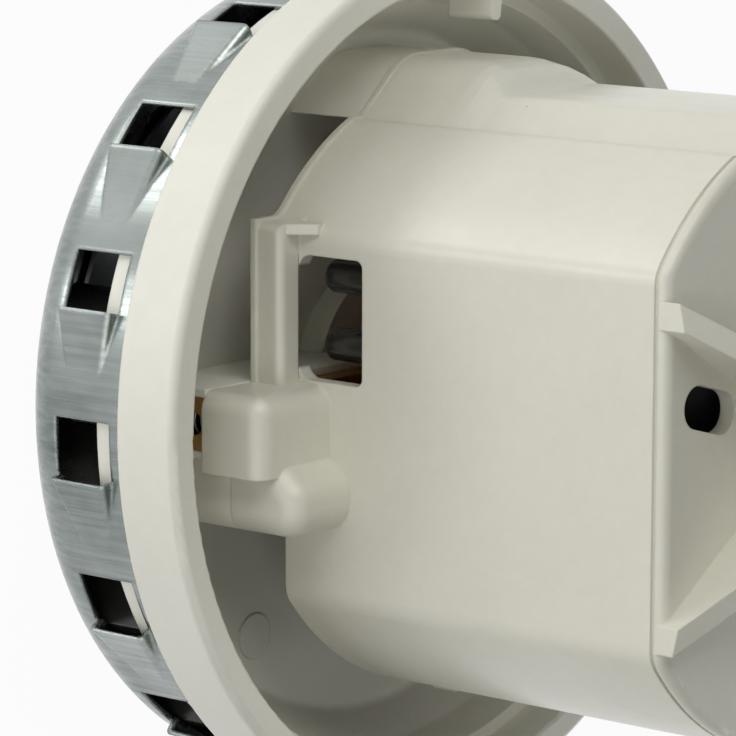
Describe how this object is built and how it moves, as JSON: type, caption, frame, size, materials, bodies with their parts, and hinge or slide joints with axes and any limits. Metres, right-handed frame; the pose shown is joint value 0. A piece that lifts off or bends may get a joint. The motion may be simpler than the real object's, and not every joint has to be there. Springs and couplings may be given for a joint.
{
  "type": "vacuum motor unit",
  "caption": "Through-flow vacuum cleaner motor: steel fan cover with louvred outlets, moulded flange rim and motor hood, with fan, armature, stator, brushes and bearings inside.",
  "frame": {"origin": "centre of the fan cover's bottom face, on the motor axis", "axes": "+Z along the motor axis, from the fan cover to the hood's bearing hub; -Y faces the vent window and the front brush"},
  "size_m": [0.134, 0.134, 0.118],
  "materials": {
    "zinc_steel": "satin",
    "cream_plastic": "satin",
    "black_plastic": "gloss",
    "brown_resin": "matte",
    "lamination_steel": "matte",
    "enamelled_copper": "gloss",
    "copper": "satin",
    "brass": "satin",
    "carbon": "matte",
    "fan_aluminium": "satin",
    "machined_steel": "satin",
    "bearing_steel": "polished",
    "rubber": "matte",
    "grey_plastic": "matte"
  },
  "bodies": {
    "motor_frame": {"fan_cover": "zinc_steel", "flange_housing": "cream_plastic", "diffuser": "black_plastic", "lower_bearing_outer": "bearing_steel", "bearing_retainer": "zinc_steel", "retainer_screws": "machined_steel", "motor_hood": "cream_plastic", "hood_screws": "machined_steel", "stator_core": "lamination_steel", "stator_screws": "machined_steel", "field_coil_right": "enamelled_copper", "field_coil_left": "enamelled_copper", "coil_frame_lower": "black_plastic", "coil_frame_upper": "black_plastic", "terminal_left": "brass", "terminal_right": "brass", "brush_tube_front": "brass", "brush_tube_back": "brass", "brush_cap_front": "brass", "brush_cap_back": "brass", "brush_spring_front": "machined_steel", "brush_spring_back": "machined_steel", "upper_bearing_outer": "bearing_steel", "bearing_boot": "rubber", "wave_washer": "machined_steel"},
    "rotor": {"shaft": "machined_steel", "commutator": "copper", "commutator_hub": "brown_resin", "shaft_liner": "brown_resin", "armature_core": "lamination_steel", "armature_end_discs": "brown_resin", "armature_winding": "enamelled_copper", "fan_spacer": "machined_steel", "fan_back_disc": "fan_aluminium", "fan_front_disc": "fan_aluminium", "fan_vanes": "fan_aluminium", "fan_washer": "zinc_steel", "fan_nut": "zinc_steel", "cooling_fan": "grey_plastic", "lower_bearing_inner": "bearing_steel", "upper_bearing_inner": "bearing_steel"},
    "lower_balls": {"lower_bearing_balls": "bearing_steel"},
    "upper_balls": {"upper_bearing_balls": "bearing_steel"},
    "brush_front_body": {"brush_front": "carbon"},
    "brush_back_body": {"brush_back": "carbon"}
  },
  "joints": [
    {"name": "rotor_spin", "type": "hinge", "parent": "motor_frame", "child": "rotor", "pos_m": [0, 0, 0.05], "axis": [0, 0, 1], "continuous": true},
    {"name": "lower_ball_spin", "type": "hinge", "parent": "motor_frame", "child": "lower_balls", "pos_m": [0, 0, 0.05], "axis": [0, 0, 1], "continuous": true},
    {"name": "upper_ball_spin", "type": "hinge", "parent": "motor_frame", "child": "upper_balls", "pos_m": [0, 0, 0.05], "axis": [0, 0, 1], "continuous": true},
    {"name": "brush_front_slide", "type": "slide", "parent": "motor_frame", "child": "brush_front_body", "axis": [0, -1, 0], "range_m": [0, 0.006], "stiffness_N_per_m": 150, "springref_m": -0.015, "deforming": ["brush_spring_front"]},
    {"name": "brush_back_slide", "type": "slide", "parent": "motor_frame", "child": "brush_back_body", "axis": [0, 1, 0], "range_m": [0, 0.006], "stiffness_N_per_m": 150, "springref_m": -0.015, "deforming": ["brush_spring_back"]}
  ],
  "couplings": [
    {"joint": "lower_ball_spin", "follows": "rotor_spin", "ratio": 0.36667},
    {"joint": "upper_ball_spin", "follows": "rotor_spin", "ratio": 0.38461}
  ]
}
